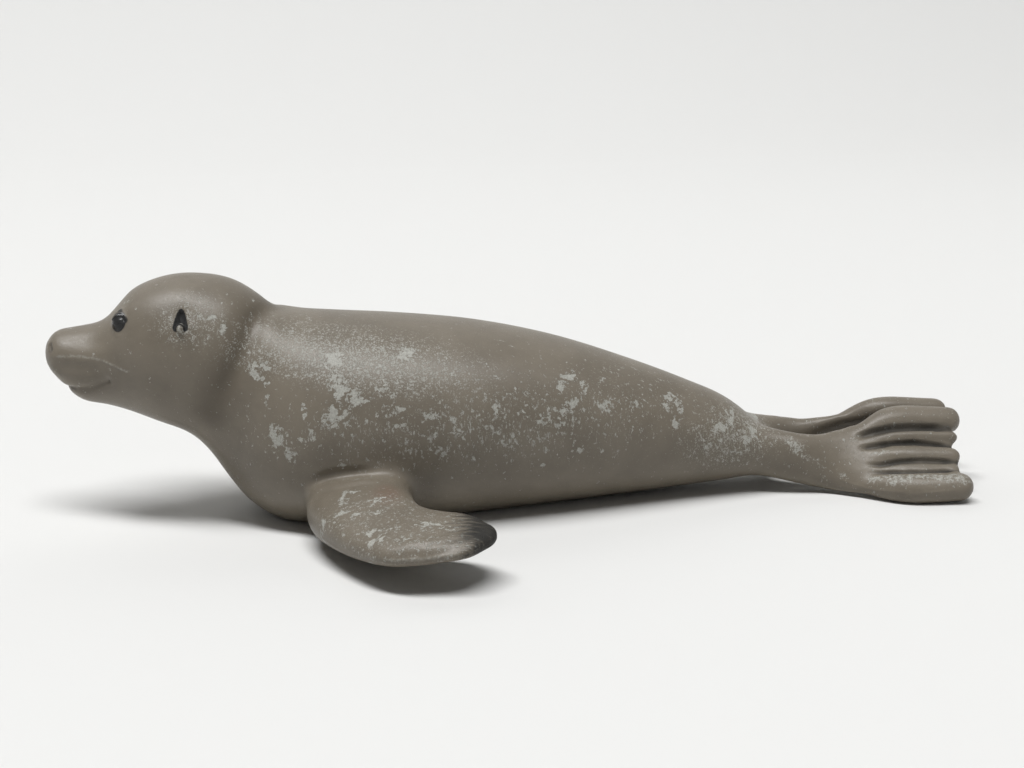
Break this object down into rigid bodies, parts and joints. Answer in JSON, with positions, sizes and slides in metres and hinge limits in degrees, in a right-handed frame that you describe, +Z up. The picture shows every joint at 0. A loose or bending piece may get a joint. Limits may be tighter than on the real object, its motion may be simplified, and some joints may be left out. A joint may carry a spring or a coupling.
{
  "type": "seal figurine",
  "caption": "Seal figurine moulded in one piece, lying on its flat belly with its head raised, fore flippers spread and ribbed hind flippers trailing behind.",
  "frame": {"origin": "on the ground under the middle of the seal's length and width", "axes": "+X towards the tail, with the head towards -X; +Z up; +Y towards the seal's own right side"},
  "size_m": [0.1412, 0.083, 0.0375],
  "materials": {
    "painted_vinyl": "satin warm grey-brown paint on soft vinyl, chipped pale grey along the side and rubbed at the edges, with black eyes and ears and dark fore flipper ends"
  },
  "bodies": {
    "root": {"seal_figurine": "painted_vinyl"}
  },
  "joints": []
}
